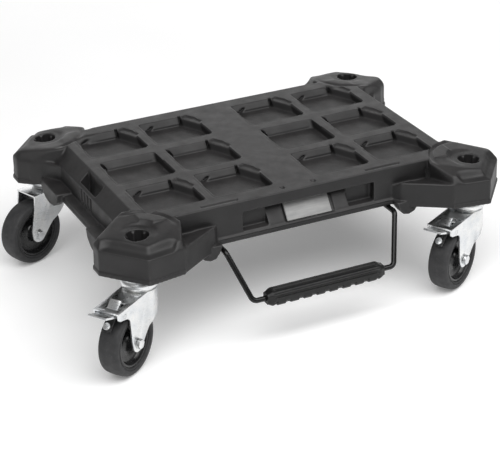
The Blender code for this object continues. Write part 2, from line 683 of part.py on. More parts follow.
def handle_wire(look):
    half = [
        (WIRE_END_X, HANDLE_PIVOT_Y, HANDLE_PIVOT_Z),
        (LEG_TOP_X, HANDLE_PIVOT_Y, HANDLE_PIVOT_Z),
        (LEG_TOP_X, LEG_TOP_Y, HANDLE_PIVOT_Z),
        (LEG_FOOT_X, GRIP_Y, GRIP_Z),
    ]
    corners = half + [(-x, y, z) for x, y, z in reversed(half)]
    points = rounded_path(corners, WIRE_BEND, 4)
    curve = bpy.data.curves.new("handle_wire", "CURVE")
    curve.dimensions = "3D"
    spline = curve.splines.new("POLY")
    spline.points.add(len(points) - 1)
    for target, point in zip(spline.points, points):
        target.co = (*point, 1.0)
    curve.bevel_depth = WIRE_RADIUS
    curve.bevel_resolution = 2
    curve.use_fill_caps = True
    wire = bpy.data.objects.new("handle_wire", curve)
    bpy.context.scene.collection.objects.link(wire)
    graph = bpy.context.evaluated_depsgraph_get()
    mesh = bpy.data.meshes.new_from_object(wire.evaluated_get(graph))
    bpy.data.objects.remove(wire, do_unlink=True)
    bm = bmesh.new()
    bm.from_mesh(mesh)
    bmesh.ops.remove_doubles(bm, verts=bm.verts, dist=0.00002)
    made = mesh_object("handle_wire", bm)
    return finish(set_origin(made, (0.0, HANDLE_PIVOT_Y, HANDLE_PIVOT_Z)), look, smooth_angle=50)


def handle_grip(look):
    """Rubber grip: round section, rounded ends, square notches along its lower front edge."""
    bore = WIRE_RADIUS + GAP
    end, full = GRIP_HALF_LENGTH, GRIP_HALF_LENGTH - 0.010
    profile = [(bore, -end), (0.0085, -end), (0.0117, -end + 0.0030), (GRIP_RADIUS, -full)]
    profile += [(r, -y) for r, y in reversed(profile)]
    grip = turned(profile, 24, "handle_grip", "X", (0.0, GRIP_Y, GRIP_Z))
    for k in range(GRIP_NOTCHES):
        x = (k - (GRIP_NOTCHES - 1) / 2) * 0.021
        low = (x - 0.004, GRIP_Y - 0.02, GRIP_Z - 0.0115)
        cut_away(grip, box(low, (x + 0.004, GRIP_Y - 0.0085, GRIP_Z - 0.0045)))
    return finish(set_origin(grip, (0.0, HANDLE_PIVOT_Y, HANDLE_PIVOT_Z)), look, smooth_angle=35)


def build():
    clear_scene()
    looks = {
        "deck": material("deck_plastic", (0.070, 0.066, 0.066), 0.55),
        "plate": material("plate_grey", (0.30, 0.30, 0.30), 0.45),
        "zinc": material("zinc_plate", (0.78, 0.79, 0.80), 0.25, 1.0),
        "black_steel": material("black_steel", (0.03, 0.03, 0.03), 0.4, 1.0),
        "rubber": material("tyre_rubber", (0.045, 0.045, 0.046), 0.7),
        "hub_plastic": material("hub_plastic", (0.012, 0.012, 0.013), 0.4),
        "wire": material("black_wire", (0.015, 0.015, 0.015), 0.3, 0.5),
        "grip": material("grip_rubber", (0.015, 0.015, 0.015), 0.6),
    }
    deck_shell(looks["deck"])
    front_plate(looks["plate"])
    for name in CASTER_YAWS:
        sx = -1 if name.endswith("left") else 1
        sy = -1 if name.startswith("front") else 1
        caster(name, (sx * SWIVEL_X, sy * SWIVEL_Y, 0.0), looks)
    handle_wire(looks["wire"])
    handle_grip(looks["grip"])


build()
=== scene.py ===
import json
import math

import bmesh
import bpy
import numpy
from mathutils import Matrix, Vector


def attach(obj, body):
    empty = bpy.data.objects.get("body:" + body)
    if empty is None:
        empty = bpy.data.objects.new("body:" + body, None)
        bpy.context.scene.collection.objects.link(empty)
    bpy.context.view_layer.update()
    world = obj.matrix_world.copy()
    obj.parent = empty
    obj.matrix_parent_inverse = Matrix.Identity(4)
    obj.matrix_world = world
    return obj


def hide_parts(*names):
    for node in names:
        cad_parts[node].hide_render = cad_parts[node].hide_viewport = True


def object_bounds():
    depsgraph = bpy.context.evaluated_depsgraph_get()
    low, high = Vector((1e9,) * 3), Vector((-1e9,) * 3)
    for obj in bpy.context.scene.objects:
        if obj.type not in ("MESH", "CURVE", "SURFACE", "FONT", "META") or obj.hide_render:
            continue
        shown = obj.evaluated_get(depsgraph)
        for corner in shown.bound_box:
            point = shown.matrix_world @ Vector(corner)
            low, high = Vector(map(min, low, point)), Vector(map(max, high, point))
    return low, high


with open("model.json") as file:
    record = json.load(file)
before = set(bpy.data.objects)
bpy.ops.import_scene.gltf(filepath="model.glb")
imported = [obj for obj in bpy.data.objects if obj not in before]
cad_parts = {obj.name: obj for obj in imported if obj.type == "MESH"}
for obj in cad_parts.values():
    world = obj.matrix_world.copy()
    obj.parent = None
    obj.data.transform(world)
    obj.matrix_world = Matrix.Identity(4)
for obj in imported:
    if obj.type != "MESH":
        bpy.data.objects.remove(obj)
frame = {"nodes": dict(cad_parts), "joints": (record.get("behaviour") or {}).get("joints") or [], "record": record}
cad_low, cad_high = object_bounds()
RECORD = frame["record"]
BODIES = {node: body for body, nodes in RECORD["behaviour"]["bodies"].items() for node in nodes}
SLOTS = {part["node"]: part["material_slot"] for part in RECORD["subparts"]}
JOINTS = {joint["name"]: joint for joint in frame["joints"]}
CASTERS = ("front_left", "front_right", "rear_left", "rear_right")

# deck, metres; pocket limits are distances from each pocket's middle
FLOOR_Z = cad_low.z
COLUMNS = (-0.1859, -0.0791, 0.0791, 0.1859)
ROWS = (-0.105, 0.0, 0.105)
POCKET_LEFT, POCKET_RIGHT = 0.046, 0.043
POCKET_FRONT, POCKET_BACK = 0.038, 0.043
POCKET_DEPTH, POCKET_LEAN = 0.0125, 0.008
SWIVEL_X, SWIVEL_Y = 0.266, 0.1885
SOCKET_FLOOR_Z = -0.030
POCKET_FLOOR_Z = 0.0001 - POCKET_DEPTH
ABOVE_DECK = 0.01
RING_RADIUS, RING_THICKNESS, RING_HEIGHT = 0.0565, 0.0042, 0.0012
RIB_COUNT, RIB_HALF_WIDTH, RIB_TOP_Z = 6, 0.0017, -0.0100
RIB_NEAR, RIB_FAR = 0.0136, 0.0190
LIP_LOW, LOBE_LIP_LOW, LIP_HIGH, LIP_GROOVE = -0.0535, -0.0530, -0.0505, 0.0016

# a lobe's outer wall seen from above, for the corner where X and Y are positive, and the ledge above it
LOBE_WALL = [(0.215, 0.234), (0.272, 0.2435), (0.3235, 0.182), (0.3235, 0.160), (0.308, 0.145)]
LEDGE_Z, LEDGE_SLOPE = -0.0225, 0.36
LEDGE_WIDTH, RISE_SLOPE = 0.0125, 1.6
LEDGE_END_RISE = 0.020

# sculpted skin of the deck
SKIN_VOXEL, SKIN_KEPT = 0.0012, 0.30
SKIN_ROUNDS, LOBE_ROUNDS = 2, 30

# casters
WHEEL_RADIUS, WHEEL_HALF_WIDTH = 0.050, 0.016
CUP_TOP_Z, CUP_BOTTOM_Z, CUP_BORE = -0.0603, -0.0822, 0.0064
BRAKE_ARM_HEIGHT = 0.0165

# handle
HANDLE_Y, HANDLE_Z = -0.150, -0.0628
WIRE_RADIUS, WIRE_BEND = 0.004, 0.009
WIRE_END_X, LEG_TOP_X, LEG_FOOT_X, LEG_TOP_Y = 0.158, 0.137, 0.114, -0.1945
GRIP_Y, GRIP_Z = -0.2335, -0.1288
GRIP_HALF_LENGTH, GRIP_TAPER = 0.0945, 0.012
GRIP_HALF_SIDE, GRIP_CORNER_REACH, GRIP_SQUARENESS = 0.0121, 0.0138, 4.0
GRIP_RIB_PITCH, GRIP_RIB_DEPTH = 24, 0.0016
GRIP_NOTCH_PITCH, GRIP_NOTCH_DEPTH = 0.021, 0.0026

# stage
FLOOR_HALF, FLOOR_THICKNESS = 6.0, 0.02


# ---- materials -------------------------------------------------------------------------------------------
class Look:
    """A procedural material: its node tree, its shader and its object-space coordinates."""

    def __init__(self, name):
        self.material = bpy.data.materials.new(name)
        self.material.use_nodes = True
        self.nodes = self.material.node_tree.nodes
        self.links = self.material.node_tree.links
        self.shader = self.nodes["Principled BSDF"]
        self.place = self.nodes.new("ShaderNodeTexCoord").outputs["Object"]

    def stretched(self, scale):
        mapping = self.nodes.new("ShaderNodeMapping")
        mapping.inputs["Scale"].default_value = scale
        self.links.new(self.place, mapping.inputs["Vector"])
        return mapping.outputs["Vector"]

    def noise(self, scale, detail=2.0, roughness=0.5, vector=None):
        made = self.nodes.new("ShaderNodeTexNoise")
        made.inputs["Scale"].default_value = scale
        made.inputs["Detail"].default_value = detail
        made.inputs["Roughness"].default_value = roughness
        self.links.new(vector or self.place, made.inputs["Vector"])
        return made.outputs["Fac"]

    def cells(self, scale):
        made = self.nodes.new("ShaderNodeTexVoronoi")
        made.inputs["Scale"].default_value = scale
        self.links.new(self.place, made.inputs["Vector"])
        return made.outputs["Distance"]

    def remap(self, value, low, high, to_low, to_high):
        made = self.nodes.new("ShaderNodeMapRange")
        numbers = (low, high, to_low, to_high)
        for socket, number in zip(("From Min", "From Max", "To Min", "To Max"), numbers):
            made.inputs[socket].default_value = number
        self.links.new(value, made.inputs["Value"])
        return made.outputs["Result"]

    def math(self, operation, first, second):
        made = self.nodes.new("ShaderNodeMath")
        made.operation = operation
        for socket, value in zip(made.inputs, (first, second)):
            if isinstance(value, (int, float)):
                socket.default_value = value
            else:
                self.links.new(value, socket)
        return made.outputs["Value"]

    def mix(self, factor, first, second):
        made = self.nodes.new("ShaderNodeMix")
        made.data_type = "RGBA"
        for name, value in (("A", first), ("B", second)):
            socket = [s for s in made.inputs if s.name == name and s.type == "RGBA"][0]
            if isinstance(value, tuple):
                socket.default_value = (*value, 1.0)
            else:
                self.links.new(value, socket)
        self.links.new(factor, made.inputs["Factor"])
        return [s for s in made.outputs if s.type == "RGBA"][0]

    def bump(self, height, distance, strength, below=None):
        made = self.nodes.new("ShaderNodeBump")
        made.inputs["Distance"].default_value = distance
        made.inputs["Strength"].default_value = strength
        self.links.new(height, made.inputs["Height"])
        if below is not None:
            self.links.new(below, made.inputs["Normal"])
        return made.outputs["Normal"]

    def edges(self, low, high):
        """0 on flats and in hollows, 1 on outer edges."""
        made = self.nodes.new("ShaderNodeNewGeometry")
        return self.remap(made.outputs["Pointiness"], low, high, 0.0, 1.0)

    def upward(self):
        """How far a surface faces up, 0 to 1."""
        made = self.nodes.new("ShaderNodeNewGeometry")
        split = self.nodes.new("ShaderNodeSeparateXYZ")
        self.links.new(made.outputs["Normal"], split.inputs["Vector"])
        return self.remap(split.outputs["Z"], 0.2, 1.0, 0.0, 1.0)

    def off_lobes(self):
        """1 on the deck, 0 on the outer part of the corner lobes."""
        split = self.nodes.new("ShaderNodeSeparateXYZ")
        self.links.new(self.place, split.inputs["Vector"])
        along = self.remap(self.math("ABSOLUTE", split.outputs["X"], 0.0), 0.215, 0.255, 0.0, 1.0)
        across = self.remap(self.math("ABSOLUTE", split.outputs["Y"], 0.0), 0.160, 0.185, 0.0, 1.0)
        return self.math("SUBTRACT", 1.0, self.math("MULTIPLY", along, across))

    def finish(self, colour, roughness, normal=None, **constants):
        """Joins the patterns to the shader; the constants are values that are the same all over."""
        self.links.new(colour, self.shader.inputs["Base Color"])
        self.links.new(roughness, self.shader.inputs["Roughness"])
        if normal is not None:
            self.links.new(normal, self.shader.inputs["Normal"])
        for socket, value in constants.items():
            self.shader.inputs[socket.replace("_", " ")].default_value = value
        return self.material


def moulded_plastic():
    """Dark grey moulded polypropylene: fine spark-eroded grain, soft blotches, rubbed edges, and painted top light
    mixed with dust on up-facing surfaces.
    """
    look = Look("deck_plastic")
    blotch = look.remap(look.noise(9.0, 3.0, 0.6), 0.35, 0.65, 0.0, 1.0)
    body = look.mix(blotch, (0.0085, 0.0082, 0.0085), (0.0130, 0.0124, 0.0126))
    # Painted top light: up-facing surfaces get a lighter colour in patches, standing in for light from above,
    # along with some dust.
    patchiness = look.remap(look.noise(38.0, 4.0, 0.65), 0.3, 0.75, 0.05, 0.45)
    top_light_and_dust = look.math("MULTIPLY", look.upward(), patchiness)
    # Painted shade: the outer corner lobes are left out of the painted top light, so their tops stay darker.
    top_light_and_dust = look.math("MULTIPLY", top_light_and_dust, look.off_lobes())
    body = look.mix(top_light_and_dust, body, (0.048, 0.045, 0.045))
    rub = look.remap(look.noise(60.0, 3.0), 0.3, 0.7, 0.2, 0.9)
    worn = look.math("MULTIPLY", look.edges(0.51, 0.57), rub)
    body = look.mix(worn, body, (0.070, 0.068, 0.069))
    grain = look.noise(1400.0, 2.0, 0.6)
    rough = look.math("ADD", look.remap(look.noise(45.0, 4.0, 0.6), 0.3, 0.7, 0.43, 0.56),
                      look.remap(grain, 0.3, 0.7, -0.03, 0.03))
    normal = look.bump(look.cells(900.0), 0.00012, 0.5)
    normal = look.bump(grain, 0.00010, 0.6, normal)
    return look.finish(body, rough, normal, Specular_IOR_Level=0.42)


def zinc(name, low_roughness, high_roughness):
    """Bright zinc plate: cloudy passivation, rolling marks, small dull spots."""
    look = Look(name)
    cloud = look.remap(look.noise(55.0, 4.0, 0.6), 0.3, 0.7, 0.0, 1.0)
    colour = look.mix(cloud, (0.66, 0.68, 0.70), (0.80, 0.80, 0.79))
    spots = look.remap(look.noise(420.0, 2.0, 0.5), 0.62, 0.75, 0.0, 0.6)
    colour = look.mix(spots, colour, (0.48, 0.49, 0.50))
    marks = look.noise(90.0, 5.0, 0.7, look.stretched((1.0, 1.0, 14.0)))
    rough = look.remap(marks, 0.25, 0.75, low_roughness, high_roughness)
    normal = look.bump(look.noise(700.0, 3.0, 0.6), 0.00006, 0.5)
    normal = look.bump(marks, 0.00005, 0.5, normal)
    return look.finish(colour, rough, normal, Metallic=1.0)


def rubber(name, dark, light, roughness):
    """Filled rubber: fine matt grain, scuffs and dust."""
    look = Look(name)
    cloud = look.remap(look.noise(70.0, 4.0, 0.65), 0.35, 0.7, 0.0, 1.0)
    colour = look.mix(cloud, dark, light)
    scuff = look.remap(look.noise(260.0, 5.0, 0.7), 0.58, 0.72, 0.0, 0.5)
    colour = look.mix(scuff, colour, tuple(c * 1.9 for c in light))
    rough = look.remap(look.noise(150.0, 4.0), 0.3, 0.7, roughness - 0.08, roughness + 0.1)
    normal = look.bump(look.noise(1100.0, 3.0, 0.6), 0.00012, 0.6)
    return look.finish(colour, rough, normal, Specular_IOR_Level=0.35)


def gloss_plastic():
    """Black nylon of the hubs: slightly wavy, glossy, with faint flow marks."""
    look = Look("hub_plastic")
    flow = look.remap(look.noise(80.0, 3.0), 0.3, 0.7, 0.0, 1.0)
    colour = look.mix(flow, (0.006, 0.006, 0.006), (0.014, 0.014, 0.015))
    rough = look.remap(look.noise(120.0, 4.0, 0.6), 0.3, 0.7, 0.18, 0.34)
    normal = look.bump(look.noise(260.0, 3.0), 0.00008, 0.5)
    return look.finish(colour, rough, normal)


def painted_steel(name, colour, light, roughness):
    """Coated steel: orange-peel coat, rubbed lighter in places."""
    look = Look(name)
    rubbed = look.remap(look.noise(130.0, 5.0, 0.65), 0.55, 0.75, 0.0, 0.7)
    body = look.mix(rubbed, colour, light)
    rough = look.remap(look.noise(200.0, 3.0), 0.3, 0.7, roughness, roughness + 0.15)
    normal = look.bump(look.noise(520.0, 2.0), 0.00008, 0.5)
    return look.finish(body, rough, normal, Specular_IOR_Level=0.30)


def plate_plastic():
    """Mid grey satin plate: fine grain, slight streaks."""
    look = Look("plate_grey")
    streak = look.remap(look.noise(40.0, 4.0, 0.6, look.stretched((1.0, 5.0, 5.0))), 0.3, 0.7, 0.0, 1.0)
    colour = look.mix(streak, (0.235, 0.235, 0.235), (0.30, 0.30, 0.295))
    rough = look.remap(look.noise(180.0, 3.0), 0.3, 0.7, 0.35, 0.5)
    normal = look.bump(look.noise(900.0, 2.0), 0.00008, 0.5)
    return look.finish(colour, rough, normal)


def floor_paint():
    """Pale matt studio floor."""
    look = Look("studio_floor")
    cloud = look.remap(look.noise(3.0, 3.0), 0.3, 0.7, 0.0, 1.0)
    colour = look.mix(cloud, (0.90, 0.90, 0.90), (0.93, 0.93, 0.93))
    rough = look.remap(look.noise(12.0, 3.0), 0.3, 0.7, 0.75, 0.9)
    return look.finish(colour, rough, Emission_Color=(1.0, 1.0, 1.0, 1.0), Emission_Strength=0.15)


LOOKS = {
    "deck_plastic": moulded_plastic(),
    "plate_grey": plate_plastic(),
    "zinc_plate": zinc("zinc_plate", 0.20, 0.42),
    "black_steel": painted_steel("black_steel", (0.02, 0.02, 0.02), (0.06, 0.06, 0.06), 0.3),
    "tyre_rubber": rubber("tyre_rubber", (0.026, 0.026, 0.027), (0.040, 0.040, 0.041), 0.62),
    "hub_plastic": gloss_plastic(),
    "black_wire": painted_steel("black_wire", (0.004, 0.004, 0.004), (0.012, 0.012, 0.012), 0.12),
    "grip_rubber": rubber("grip_rubber", (0.005, 0.005, 0.005), (0.009, 0.009, 0.009), 0.45),
}


# ---- helpers ---------------------------------------------------------------------------------------------
def add(name, data):
    made = bpy.data.objects.new(name, data)
    bpy.context.scene.collection.objects.link(made)
    return made


def from_bmesh(name, bm):
    bmesh.ops.recalc_face_normals(bm, faces=bm.faces)
    mesh = bpy.data.meshes.new(name)
    bm.to_mesh(mesh)
    bm.free()
    return add(name, mesh)


def grid(name, rows, closed_rows=False, caps=False):
    """A skin through rows of points, each row closed on itself."""
    bm = bmesh.new()
    verts = [[bm.verts.new(p) for p in row] for row in rows]
    count = len(verts[0])
    pairs = list(zip(verts, verts[1:]))
    if closed_rows:
        pairs.append((verts[-1], verts[0]))
    for lower, upper in pairs:
        for i in range(count):
            j = (i + 1) % count
            bm.faces.new((lower[i], lower[j], upper[j], upper[i]))
    if caps:
        bm.faces.new(verts[0])
        bm.faces.new(verts[-1])
    return from_bmesh(name, bm)


def prism(outline, low, high):
    return grid("cutter", [[(x, y, z) for x, y in outline] for z in (low, high)], caps=True)


def box(low, high):
    (x0, y0, z0), (x1, y1, z1) = low, high
    return prism([(x0, y0), (x1, y0), (x1, y1), (x0, y1)], z0, z1)


def arc(centre, radius, start, end, count):
    steps = [math.radians(start + (end - start) * i / count) for i in range(count + 1)]
    return [(centre[0] + radius * math.cos(a), centre[1] + radius * math.sin(a)) for a in steps]


def evaluated_mesh(obj):
    graph = bpy.context.evaluated_depsgraph_get()
    return bpy.data.meshes.new_from_object(obj.evaluated_get(graph))


def apply_modifiers(obj):
    mesh = evaluated_mesh(obj)
    obj.modifiers.clear()
    obj.data = mesh
    return obj


def read_points(mesh):
    points = numpy.empty(len(mesh.vertices) * 3, numpy.float32)
    mesh.vertices.foreach_get("co", points)
    return points.reshape(-1, 3)


def write_points(mesh, points):
    mesh.vertices.foreach_set("co", points.astype(numpy.float32).ravel())
    mesh.update()


def ramp(values, low, high):
    """0 below low, 1 above high, and a smooth step between them."""
    t = numpy.clip((values - low) / (high - low), 0.0, 1.0)
    return t * t * (3 - 2 * t)


def combine(base, others, operation):
    """One boolean of a body with several bodies, which are used up."""
    for other in others:
        cut = base.modifiers.new("cut", "BOOLEAN")
        cut.operation = operation
        cut.solver = "EXACT"
        cut.object = other
    apply_modifiers(base)
    for other in others:
        bpy.data.objects.remove(other, do_unlink=True)
    return base


def shade(obj, angle):
    obj.data.shade_smooth()
    obj.data.set_sharp_from_angle(angle=math.radians(angle))
    return obj


def stand_for(obj, node):
    """Gives a piece the body, slot and material of the CAD node that it replaces."""
    obj.data.materials.clear()
    obj.data.materials.append(LOOKS[SLOTS[node]])
    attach(obj, BODIES[node])
    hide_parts(node)
    return obj


def node_copy(node):
    """A new piece with the shape of a CAD node, its flat faces whole again."""
    bm = bmesh.new()
    bm.from_mesh(frame["nodes"][node].data)
    bmesh.ops.remove_doubles(bm, verts=bm.verts, dist=0.00001)
    bmesh.ops.dissolve_limit(bm, angle_limit=math.radians(0.5), verts=bm.verts, edges=bm.edges)
    return from_bmesh("look_" + node, bm)


def rounded_copy(node, width):
    """The CAD shape with its sharp edges rounded."""
    piece = node_copy(node)
    bevel = piece.modifiers.new("edges", "BEVEL")
    bevel.width = width
    bevel.segments = 2
    bevel.limit_method = "ANGLE"
    bevel.angle_limit = math.radians(30)
    apply_modifiers(piece)
    return stand_for(shade(piece, 35), node)


def turned(node, profile, segments, centre, axis):
    """A closed (radius, height) loop turned round an axis through a centre; replaces a node."""
    turn = Vector((0.0, 0.0, 1.0)).rotation_difference(Vector(axis)).to_matrix()
    angles = [2 * math.pi * i / segments for i in range(segments)]
    rows = []
    for radius, height in profile:
        ring = [Vector((radius * math.cos(a), radius * math.sin(a), height)) for a in angles]
        rows.append([Vector(centre) + turn @ p for p in ring])
    return stand_for(shade(grid("look_" + node, rows, closed_rows=True), 40), node)


# ---- deck ------------------------------------------------------------------------------------------------
def pockets():
    """Limits of each pocket, its row, and whether a latch pad cuts off its back right corner."""
    for row, y in enumerate(ROWS):
        for column, x in enumerate(COLUMNS):
            latch = not (row == 1 and column in (0, 2))
            yield x - POCKET_LEFT, x + POCKET_RIGHT, y - POCKET_FRONT, y + POCKET_BACK, row, latch


def upright_prism(outline, low, high):
    """An outline in X and Z, extruded along Y."""
    return grid("cutter", [[(x, y, z) for x, z in outline] for y in (low, high)], caps=True)


def u_outline(left, right, front, back, soft):
    """A U seen from above: straight at the back, round at both front corners."""
    outline = arc((left + soft, front + soft), soft, 180, 270, 5)
    outline += arc((right - soft, front + soft), soft, 270, 360, 5)
    return outline + [(right, back), (left, back)]


def rim_groove(x0, x1, y0, y1):
    """A narrow groove round the front and the sides of a pocket."""
    outer = prism(u_outline(x0 - 0.0058, x1 + 0.0052, y0 - 0.0060, y1 - 0.010, 0.010), -0.0018, ABOVE_DECK)
    core = prism(u_outline(x0 - 0.0040, x1 + 0.0036, y0 - 0.0042, y1 + 0.010, 0.008), -0.0030, 0.02)
    return combine(outer, [core], "DIFFERENCE")


def ledge(x0, x1, y0, y1):
    """A chamfer-like step along the front and left edge of a pocket."""
    return prism(u_outline(x0 - 0.0016, x1 + 0.0012, y0 - 0.0018, y1 - 0.034, 0.0065), -0.0022, ABOVE_DECK)


def latch_cutters(x0, x1, y0, y1):
    """The lowered latch pad and the slot between it and the back wall."""
    pad = prism([(x1 - 0.0190, y1 - 0.002), (x1 - 0.001, y1 - 0.038), (x1 + 0.0045, y1 - 0.030),
                 (x1 + 0.001, y1 - 0.012), (x1 - 0.0080, y1 + 0.0035)], -0.0022, ABOVE_DECK)
    slot = box((x1 - 0.0225, y1 - 0.013, -0.0122), (x1 - 0.0180, y1 + 0.0040, ABOVE_DECK))
    return [pad, slot]


def wall_foot_cutters(x0, x1, y0, y1, row, latch):
    """The dark gap under the leaning back wall and the notch at its left end."""
    foot = y1 - POCKET_LEAN
    right = x1 - 0.019 if latch else x1 - 0.006
    low = POCKET_FLOOR_Z
    gap = box((x0 + 0.010, foot - 0.002, low), (right, foot + 0.0035, -0.0100))
    if row == 1:
        end = [(x0 - 0.001, low), (x0 + 0.0120, low), (x0 + 0.0050, -0.0010), (x0 + 0.0020, -0.0010)]
    else:
        end = [(x0 + 0.004, low), (x0 + 0.0160, low), (x0 + 0.0240, -0.0062), (x0 + 0.0215, -0.0050)]
    return [gap, upright_prism(end, foot - 0.003, y1 - 0.0005)]


def ring_groove(centre):
    """A torus that marks off the caster lobe from the deck top."""
    round_lobe, round_section = 48, 10
    angles = [2 * math.pi * k / round_section for k in range(round_section)]
    section = [(RING_RADIUS + RING_THICKNESS * math.cos(b), RING_HEIGHT + RING_THICKNESS * math.sin(b))
               for b in angles]
    rows = []
    for i in range(round_lobe):
        a = 2 * math.pi * i / round_lobe
        out = Vector((math.cos(a), math.sin(a), 0.0))
        rows.append([Vector(centre) + out * reach + Vector((0, 0, z)) for reach, z in section])
    return grid("cutter", rows, closed_rows=True)


def socket_ribs(centre):
    """Upright ribs on the wall of a caster socket."""
    ribs = []
    for k in range(RIB_COUNT):
        turn = Matrix.Rotation(2 * math.pi * (k + 0.5) / RIB_COUNT, 4, "Z")
        rib = box((RIB_NEAR, -RIB_HALF_WIDTH, SOCKET_FLOOR_Z - 0.001), (RIB_FAR, RIB_HALF_WIDTH, RIB_TOP_Z))
        rib.data.transform(Matrix.Translation(Vector(centre)) @ turn)
        ribs.append(rib)
    return ribs


def relax(obj, weights, rounds):
    """Moves each point towards the mean of its neighbours, by its weight, a number of times."""
    mesh = obj.data
    count = len(mesh.vertices)
    points = read_points(mesh).astype(float)
    ends = numpy.empty(len(mesh.edges) * 2, numpy.int32)
    mesh.edges.foreach_get("vertices", ends)
    first, second = ends.reshape(-1, 2).T
    neighbours = numpy.bincount(first, minlength=count) + numpy.bincount(second, minlength=count)
    share = weights(points)[:, None]
    for _ in range(rounds):
        total = [numpy.bincount(first, points[second, k], count)
                 + numpy.bincount(second, points[first, k], count) for k in range(3)]
        points += share * (numpy.array(total).T / neighbours[:, None] - points)
    write_points(mesh, points)


def lobe_softness(points):
    """How soft the moulding is at each point: most on the outer lobes and necks, none in the sockets."""
    x, y, z = numpy.abs(points[:, 0]), numpy.abs(points[:, 1]), points[:, 2]
    from_socket = numpy.hypot(x - SWIVEL_X, y - SWIVEL_Y)
    end = ramp(x, 0.252, 0.262) * ramp(y, 0.110, 0.125)
    side = ramp(y, 0.177, 0.183) * ramp(x, 0.140, 0.150)
    crest = ramp(x, 0.190, 0.205) * ramp(y, 0.135, 0.150) * ramp(points[:, 1], 0.0, 0.1)
    softness = 0.22 + 0.40 * ramp(points[:, 1], -0.02, 0.02)
    outside = numpy.maximum(numpy.maximum(end, side), crest)
    return softness * outside * ramp(from_socket, 0.020, 0.030) * ramp(z, -0.048, -0.042)


def offset_line(points, distance):
    """An open line moved sideways; positive is to the right of its direction."""
    moved = []
    for i, (x, y) in enumerate(points):
        before, after = points[max(i - 1, 0)], points[min(i + 1, len(points) - 1)]
        sides = []
        for start, end in ((before, (x, y)), ((x, y), after)):
            run = Vector((end[0] - start[0], end[1] - start[1]))
            if run.length > 0:
                sides.append(Vector((run.y, -run.x)).normalized())
        mean = (sides[0] + sides[-1]).normalized()
        reach = distance / max(mean.dot(sides[0]), 0.5)
        moved.append((x + mean.x * reach, y + mean.y * reach))
    return moved


def lower_lobe_rims(obj):
    """Lowers the outer rim of each lobe to a gently sloping ledge above its upright wall."""
    points = read_points(obj.data)
    x, y = numpy.abs(points[:, 0]), numpy.abs(points[:, 1])
    inside = numpy.full(len(points), 1.0)
    for start, end in zip(LOBE_WALL[:2], LOBE_WALL[1:3]):
        run = Vector((end[0] - start[0], end[1] - start[1])).normalized()
        inside = numpy.minimum(inside, (x - start[0]) * run.y - (y - start[1]) * run.x)
    height = LEDGE_Z + LEDGE_SLOPE * inside + RISE_SLOPE * numpy.maximum(inside - LEDGE_WIDTH, 0.0)
    height += LEDGE_END_RISE * (1.0 - ramp(x, 0.212, 0.232)) + LEDGE_END_RISE * (1.0 - ramp(y, 0.160, 0.184))
    on_lobe = (x > 0.205) & (y > 0.150)
    points[on_lobe, 2] = numpy.minimum(points[on_lobe, 2], height[on_lobe])
    write_points(obj.data, points)


def lobe_lip_groove(sx, sy):
    """The groove above the lip round the outer wall of one lobe."""
    outer = offset_line(LOBE_WALL, -0.004)
    inner = offset_line(LOBE_WALL, LIP_GROOVE)
    outline = [(sx * x, sy * y) for x, y in outer + inner[::-1]]
    return prism(outline, LOBE_LIP_LOW, LIP_HIGH)


def skirt_lip_grooves():
    """The grooves above the lip of the skirt, at the front and at both ends."""
    grooves = [box((-0.140, -0.1900, LIP_LOW), (0.140, -0.1786, LIP_HIGH))]
    for sx in (-1, 1):
        near, far = sorted((sx * 0.2855, sx * 0.30))
        grooves.append(box((near, -0.060, LIP_LOW), (far, 0.060, -0.0470)))
    return grooves


def deck():
    """The deck moulding: shallow detail cut in, then a soft skin over the whole, softest on the lobes."""
    piece = node_copy("deck_shell")
    cutters, additions = [], []
    for x0, x1, y0, y1, row, latch in pockets():
        cutters += [rim_groove(x0, x1, y0, y1), ledge(x0, x1, y0, y1)]
        cutters += wall_foot_cutters(x0, x1, y0, y1, row, latch)
        if latch:
            cutters += latch_cutters(x0, x1, y0, y1)
    for sx in (-1, 1):
        for sy in (-1, 1):
            centre = (sx * SWIVEL_X, sy * SWIVEL_Y, 0.0)
            cutters += [ring_groove(centre), lobe_lip_groove(sx, sy)]
            additions += socket_ribs(centre)
    cutters += skirt_lip_grooves()
    combine(piece, cutters, "DIFFERENCE")
    combine(piece, additions, "UNION")
    skin = piece.modifiers.new("skin", "REMESH")
    skin.mode = "VOXEL"
    skin.voxel_size = SKIN_VOXEL
    skin.adaptivity = 0.0
    apply_modifiers(piece)
    lower_lobe_rims(piece)
    relax(piece, lambda points: numpy.full(len(points), 0.5), SKIN_ROUNDS)
    relax(piece, lobe_softness, LOBE_ROUNDS)
    thin = piece.modifiers.new("thin", "DECIMATE")
    thin.ratio = SKIN_KEPT
    apply_modifiers(piece)
    piece.data.shade_smooth()
    return stand_for(piece, "deck_shell")


# ---- casters ---------------------------------------------------------------------------------------------
def mirrored_profile(edge):
    """A (radius, distance from the middle) line made into a closed loop, the same on both sides."""
    return [(r, -y) for r, y in edge] + [(r, y) for r, y in reversed(edge)]


def tyre(name):
    half = WHEEL_HALF_WIDTH
    edge = [(0.0366, half - 0.0022), (0.0374, half - 0.0008), (0.0386, half - 0.0004)]
    edge += [(0.0392, half - 0.0012), (0.0402, half - 0.0012), (0.0410, half), (0.0440, half)]
    edge += arc((0.0440, half - 0.0052), 0.0052, 80, 20, 5)
    edge += [(0.0496, half - 0.0075), (0.0499, half - 0.0110), (WHEEL_RADIUS, half - 0.0145)]
    joint = JOINTS["wheel_roll_" + name]
    return turned("tyre_" + name, mirrored_profile(edge), 96, joint["pos_m"], joint["axis"])


